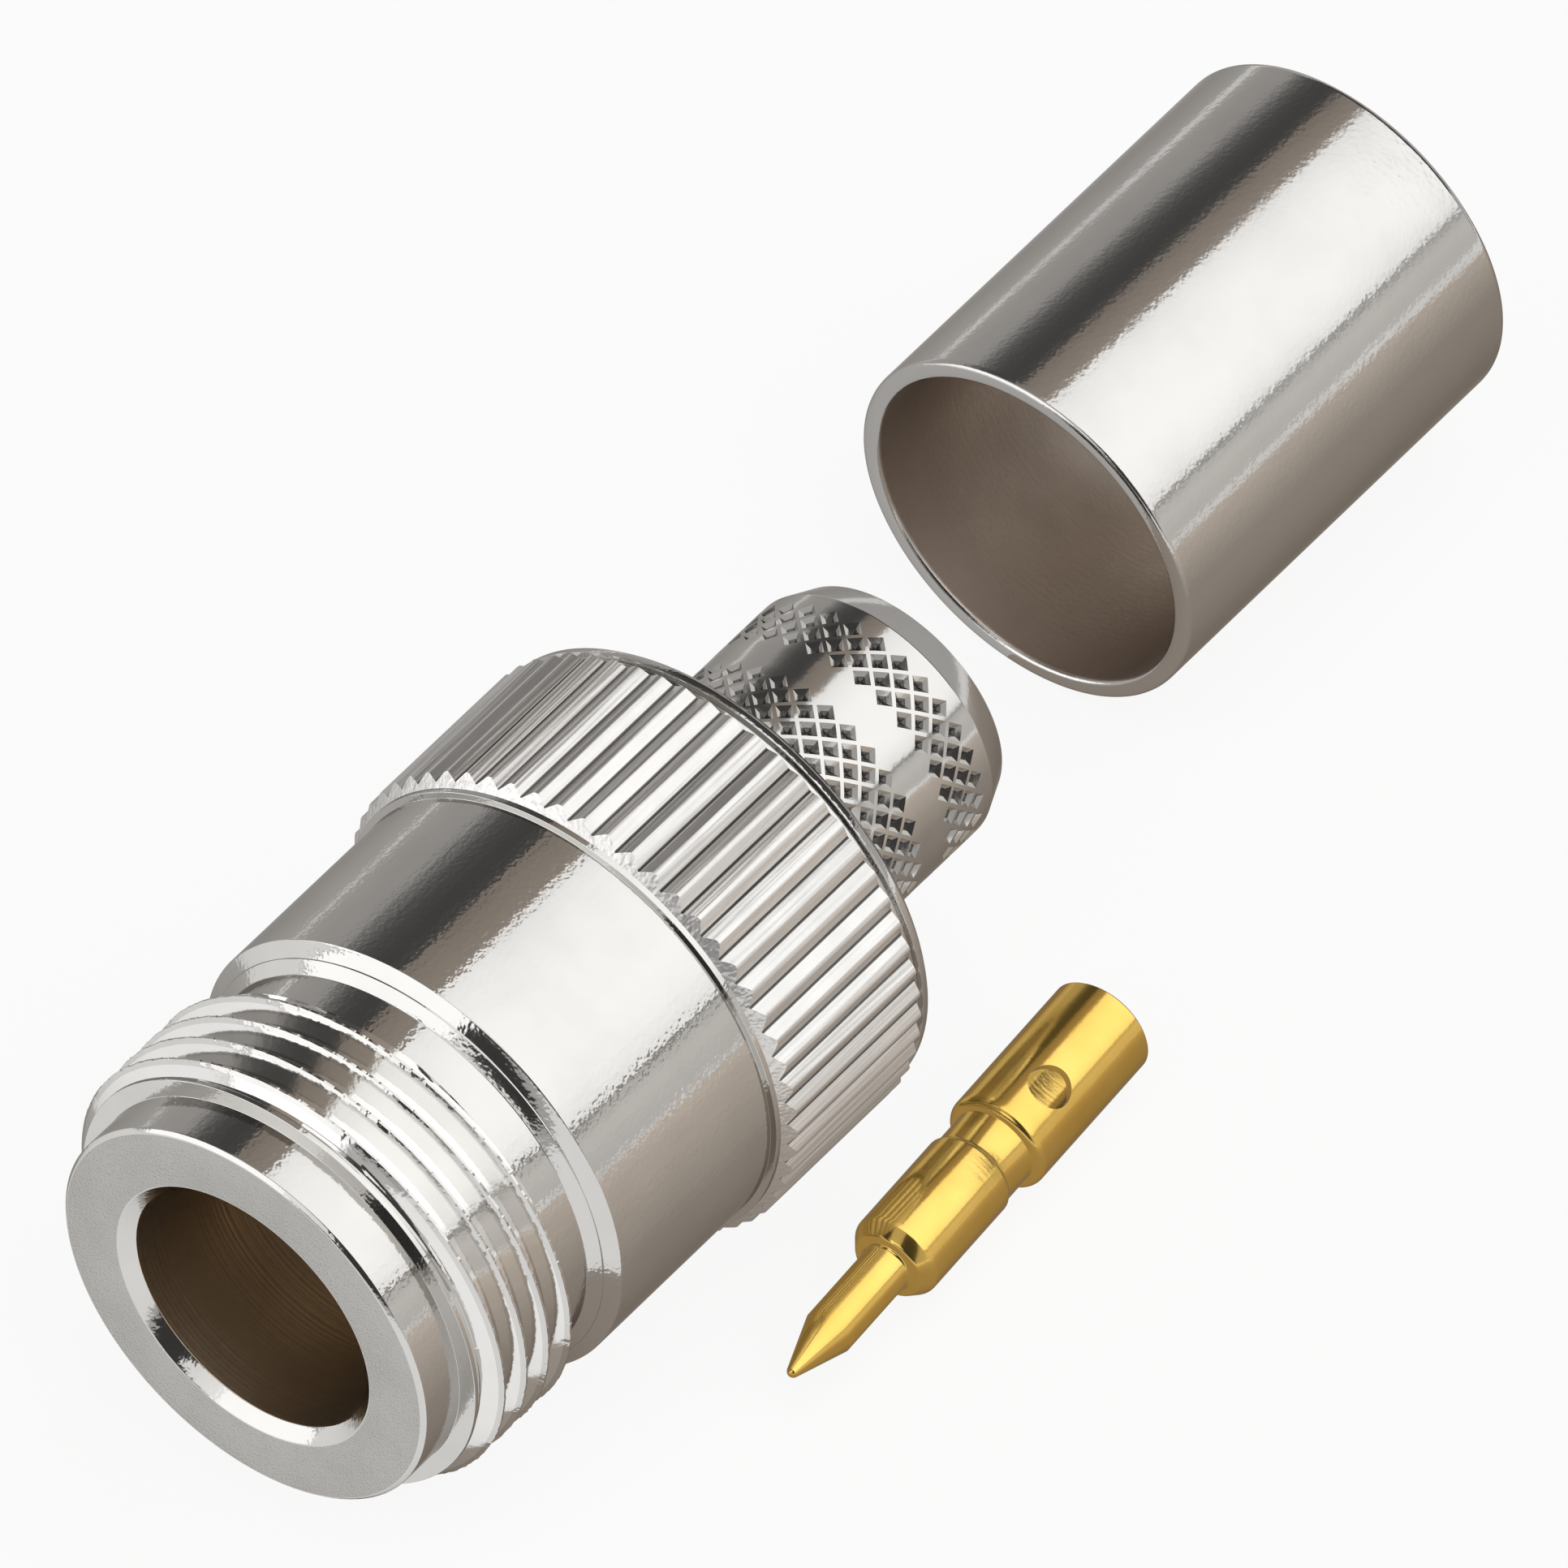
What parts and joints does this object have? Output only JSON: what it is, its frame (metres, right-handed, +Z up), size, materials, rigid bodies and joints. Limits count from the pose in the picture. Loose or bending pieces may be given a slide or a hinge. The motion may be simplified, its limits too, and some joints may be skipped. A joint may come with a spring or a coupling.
{
  "type": "reverse polarity n connector",
  "caption": "Reverse polarity crimp jack with a threaded nose, a knurled collar and a crimp stem, laid out with its centre pin and ferrule.",
  "frame": {"origin": "centre of the shell's mating face, on its axis", "axes": "+Y back along the shell to the cable end, +Z up, the pieces lying on a level surface below"},
  "size_m": [0.0203, 0.057, 0.0172],
  "materials": {
    "nickel_shell": "bright nickel plate on turned brass, lightly satin",
    "nickel_stem": "bright nickel plate on turned brass, diamond knurled",
    "bead_plastic": "turned white fluoropolymer",
    "gold_plate": "bright gold plate on turned brass",
    "nickel_ferrule": "bright nickel plate on drawn tube, satin"
  },
  "bodies": {
    "root": {"connector_shell": "nickel_shell", "crimp_stem": "nickel_stem", "insulator_bead": "bead_plastic", "centre_pin": "gold_plate", "crimp_ferrule": "nickel_ferrule"}
  },
  "joints": []
}
